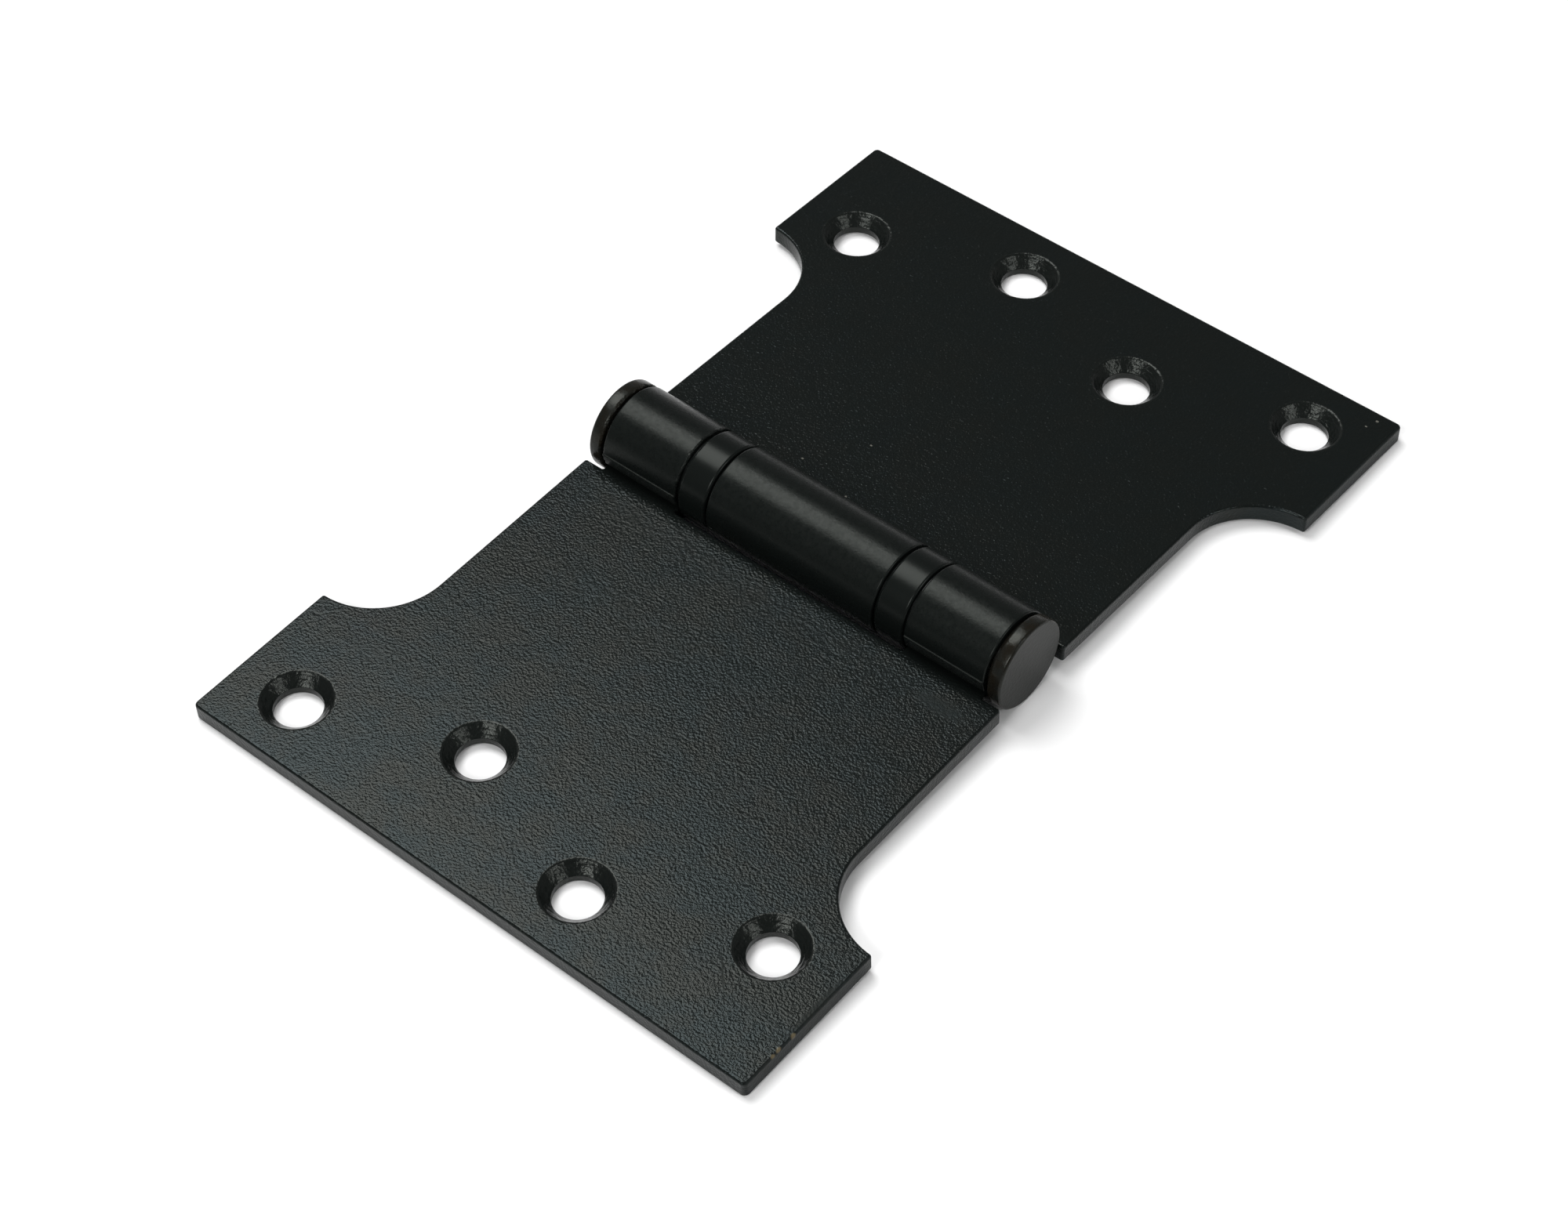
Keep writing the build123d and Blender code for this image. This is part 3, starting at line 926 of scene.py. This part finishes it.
def make_floor(colour):
    """A plain pale floor, lit just to white away from the hinge's soft shadow."""
    bm = bmesh.new()
    bmesh.ops.create_grid(bm, x_segments=1, y_segments=1, size=FLOOR_HALF)
    mesh = bpy.data.meshes.new("floor")
    bm.to_mesh(mesh)
    bm.free()
    floor = bpy.data.objects.new("floor", mesh)
    bpy.context.scene.collection.objects.link(floor)
    material = bpy.data.materials.new("pale floor")
    material.use_nodes = True
    tree = material.node_tree
    tree.nodes.clear()
    paper = add_node(tree, "ShaderNodeBsdfDiffuse", {"Color": rgba(colour)})
    add_node(tree, "ShaderNodeOutputMaterial", {"Surface": paper.outputs[0]})
    mesh.materials.append(material)


def make_world():
    """A dim studio: a pale band low down behind the hinge, and dark in front."""
    world = bpy.data.worlds.new("studio")
    world.use_nodes = True
    tree = world.node_tree
    tree.nodes.clear()
    direction = add_node(tree, "ShaderNodeTexCoord").outputs["Generated"]
    towards = add_node(tree, "ShaderNodeSeparateXYZ", {0: direction}).outputs
    low = add_node(tree, "ShaderNodeMapRange", {
        "Value": towards["Z"], "From Min": BAND_START, "From Max": BAND_END, "To Min": 1.0, "To Max": 0.0,
    })
    back = add_node(tree, "ShaderNodeMapRange", {
        "Value": towards["Y"], "From Min": -FRONT_FADE, "From Max": FRONT_FADE,
    })
    band = add_node(tree, "ShaderNodeMath", {0: low.outputs[0], 1: back.outputs[0]}, operation="MULTIPLY")
    level = add_node(tree, "ShaderNodeMapRange", {
        "Value": band.outputs[0], "To Min": WORLD_DIM, "To Max": WORLD_PALE,
    })
    sky = add_node(tree, "ShaderNodeBackground", {
        "Color": (1.0, 1.0, 1.0, 1.0), "Strength": level.outputs[0],
    })
    add_node(tree, "ShaderNodeOutputWorld", {"Surface": sky.outputs[0]})
    bpy.context.scene.world = world


def make_light(name, azimuth, elevation, across, radiance, mirrored):
    """A round soft light that looks at the hinge. A fill that isn't mirrored lights the hinge
    without a glare of its own. An area light's radiance is its power over four times its area."""
    flat = math.cos(math.radians(elevation))
    towards = Vector((
        flat * math.cos(math.radians(azimuth)),
        flat * math.sin(math.radians(azimuth)),
        math.sin(math.radians(elevation)),
    ))
    data = bpy.data.lights.new(name, "AREA")
    data.shape = "DISK"
    data.size = 2 * LIGHT_DISTANCE * math.tan(math.radians(across / 2))
    area = math.pi * data.size**2 / 4
    data.energy = 4 * area * radiance
    light = bpy.data.objects.new(name, data)
    turn = towards.to_track_quat("Z", "Y").to_matrix().to_4x4()
    light.matrix_world = Matrix.Translation(towards * LIGHT_DISTANCE) @ turn
    light.visible_glossy = mirrored
    bpy.context.scene.collection.objects.link(light)


def make_camera():
    """The camera at the photograph's viewing angle."""
    data = bpy.data.cameras.new("camera")
    data.lens = CAMERA_LENS
    data.sensor_width = 36
    data.clip_start = 0.01
    data.clip_end = 50
    camera = bpy.data.objects.new("camera", data)
    turn = (CAMERA_AIM - CAMERA_PLACE).to_track_quat("-Z", "Y").to_matrix().to_4x4()
    roll = Matrix.Rotation(CAMERA_ROLL, 4, "Z")
    camera.matrix_world = Matrix.Translation(CAMERA_PLACE * MM) @ turn @ roll
    bpy.context.scene.collection.objects.link(camera)
    bpy.context.scene.camera = camera


# Sizes and colours a user may change

class HingeSizes(bpy.types.PropertyGroup):
    """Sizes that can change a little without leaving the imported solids' shapes"""

    corner_radius: FloatProperty(
        name="Corner radius", description="Radius of the leaves' outer corners",
        default=CORNER_RADIUS * MM, min=0.0002, max=0.003, unit="LENGTH",
    )
    shoulder_round: FloatProperty(
        name="Countersink shoulder", description="Roundness of the coat at each countersink's edge",
        default=SHOULDER_ROUND * MM, min=0.0001, max=0.001, unit="LENGTH",
    )
    plug_round: FloatProperty(
        name="Plug rim", description="Roundness of the end plugs' rims",
        default=PLUG_ROUND * MM, min=0.0001, max=0.001, unit="LENGTH",
    )
    collar_round: FloatProperty(
        name="Collar rim", description="Roundness of the bearing collars' rims",
        default=SHELL_ROUND * MM, min=0.0001, max=0.0005, unit="LENGTH",
    )
    ball_diameter: FloatProperty(
        name="Ball diameter", description="Diameter of each bearing ball",
        default=BALL_DIAMETER * MM, min=0.0005, max=0.0015, unit="LENGTH",
    )


class HingeColours(bpy.types.PropertyGroup):
    """Colours of the finishes and the floor"""

    coat: FloatVectorProperty(
        name="Coat", description="Colour of the black coat on the leaves",
        default=linear("#0d100f"), min=0, max=1, size=3, subtype="COLOR",
    )
    plug: FloatVectorProperty(
        name="Plug", description="Colour of the thin coat on the end plugs",
        default=linear("#131412"), min=0, max=1, size=3, subtype="COLOR",
    )
    steel: FloatVectorProperty(
        name="Steel", description="Colour of the bright steel inside the barrel",
        default=linear("#c3c4c6"), min=0, max=1, size=3, subtype="COLOR",
    )
    brass: FloatVectorProperty(
        name="Brass", description="Colour of the ball cages",
        default=linear("#dcc07e"), min=0, max=1, size=3, subtype="COLOR",
    )
    floor: FloatVectorProperty(
        name="Floor", description="Colour of the floor",
        default=linear("#f4f4f4"), min=0, max=1, size=3, subtype="COLOR",
    )


# One operator for each piece or group of like pieces, and one for the stage

ENDS = {"left": -1, "right": 1}


class HINGE_OT_leaves(bpy.types.Operator):
    """Make the two leaves with their rolled knuckles"""

    bl_idname = "hinge.leaves"
    bl_label = "Leaves"

    def execute(self, context):
        coat = context.scene.hinge_colours.coat
        materials = [powder_coat(coat), sink_coat(coat)]
        outer_tabs = [
            (-OUTER_KNUCKLE_END, -OUTER_KNUCKLE_START),
            (OUTER_KNUCKLE_START, OUTER_KNUCKLE_END),
        ]
        middle_tabs = [(-MIDDLE_KNUCKLE_END, MIDDLE_KNUCKLE_END)]
        leaves = (
            ("front_leaf_sheet", outer_tabs, True, "front_leaf", "leaf_with_outer_knuckles"),
            ("back_leaf_sheet", middle_tabs, False, "back_leaf", "leaf_with_middle_knuckle"),
        )
        for name, tabs, on_front, body, node in leaves:
            piece = make_leaf(name, tabs, on_front, context.scene.hinge_sizes, materials)
            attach(piece, body)
            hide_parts(node)
        return {"FINISHED"}


class HINGE_OT_plugs(bpy.types.Operator):
    """Make the two end plugs"""

    bl_idname = "hinge.plugs"
    bl_label = "End plugs"

    def execute(self, context):
        coat = thin_coat(context.scene.hinge_colours.plug)
        profile = plug_profile(context.scene.hinge_sizes.plug_round / MM)
        for end, side in ENDS.items():
            piece = make_turned(f"flat_plug_{end}", profile, False, side, [coat])
            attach(piece, "front_leaf")
            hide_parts(f"end_plug_{end}")
        return {"FINISHED"}


class HINGE_OT_collars(bpy.types.Operator):
    """Make the collars that cover the thrust bearings"""

    bl_idname = "hinge.collars"
    bl_label = "Bearing collars"

    def execute(self, context):
        coat = satin_coat(context.scene.hinge_colours.coat)
        profile = shell_profile(context.scene.hinge_sizes.collar_round / MM)
        for end, side in ENDS.items():
            piece = make_turned(f"bearing_collar_{end}", profile, True, side, [coat])
            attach(piece, "front_leaf")
            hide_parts(f"bearing_shell_{end}")
        return {"FINISHED"}


class HINGE_OT_balls(bpy.types.Operator):
    """Make the ring of balls in each thrust bearing"""

    bl_idname = "hinge.balls"
    bl_label = "Bearing balls"

    def execute(self, context):
        steel = polished_steel(context.scene.hinge_colours.steel)
        tree = ball_ring_tree()
        diameter = context.scene.hinge_sizes.ball_diameter
        for end, side in ENDS.items():
            piece = make_ball_ring(f"balls_{end}", side, tree, diameter, steel)
            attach(piece, f"ball_ring_{end}")
            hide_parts(*[f"ball_{number + 1:02d}_{end}" for number in range(BALL_COUNT)])
        return {"FINISHED"}


class HINGE_OT_inner_finish(bpy.types.Operator):
    """Give the pin, races and cages inside the barrel their finish"""

    bl_idname = "hinge.inner_finish"
    bl_label = "Inner finishes"

    def execute(self, context):
        colours = context.scene.hinge_colours
        finishes = {
            "hinge_pin": drawn_steel(colours.steel),
            "race": ground_steel(colours.steel, colours.coat),
            "ball_cage": pressed_brass(colours.brass),
        }
        for name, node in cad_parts.items():
            for word, material in finishes.items():
                if word in name:
                    node.data.materials.clear()
                    node.data.materials.append(material)
        return {"FINISHED"}


class HINGE_OT_stage(bpy.types.Operator):
    """Make the floor, the soft lights and the camera"""

    bl_idname = "hinge.stage"
    bl_label = "Floor, lights and camera"

    def execute(self, context):
        make_floor(context.scene.hinge_colours.floor)
        make_world()
        for light in SOFT_LIGHTS:
            make_light(*light)
        make_camera()
        context.scene.view_settings.view_transform = "Standard"
        return {"FINISHED"}


# Pieces are made in this order
OPERATORS = (
    HINGE_OT_leaves,
    HINGE_OT_plugs,
    HINGE_OT_collars,
    HINGE_OT_balls,
    HINGE_OT_inner_finish,
    HINGE_OT_stage,
)


class HINGE_PT_panel(bpy.types.Panel):
    """The hinge's pieces, sizes and colours"""

    bl_idname = "HINGE_PT_panel"
    bl_label = "Parliament Hinge"
    bl_space_type = "VIEW_3D"
    bl_region_type = "UI"
    bl_category = "Hinge"

    def draw(self, context):
        for operator in OPERATORS:
            self.layout.operator(operator.bl_idname)
        for group in (context.scene.hinge_sizes, context.scene.hinge_colours):
            for name in group.__annotations__:
                self.layout.prop(group, name)


CLASSES = (HingeSizes, HingeColours, *OPERATORS, HINGE_PT_panel)


def register():
    """Makes the operators, the panel and the scene's properties known to Blender."""
    for cls in CLASSES:
        bpy.utils.register_class(cls)
    bpy.types.Scene.hinge_sizes = PointerProperty(type=HingeSizes)
    bpy.types.Scene.hinge_colours = PointerProperty(type=HingeColours)


def unregister():
    """Takes away what register added."""
    del bpy.types.Scene.hinge_colours
    del bpy.types.Scene.hinge_sizes
    for cls in reversed(CLASSES):
        bpy.utils.unregister_class(cls)


def main():
    """Makes the whole hinge."""
    register()
    for operator in OPERATORS:
        group, name = operator.bl_idname.split(".")
        getattr(getattr(bpy.ops, group), name)()


if __name__ == "__main__":
    main()
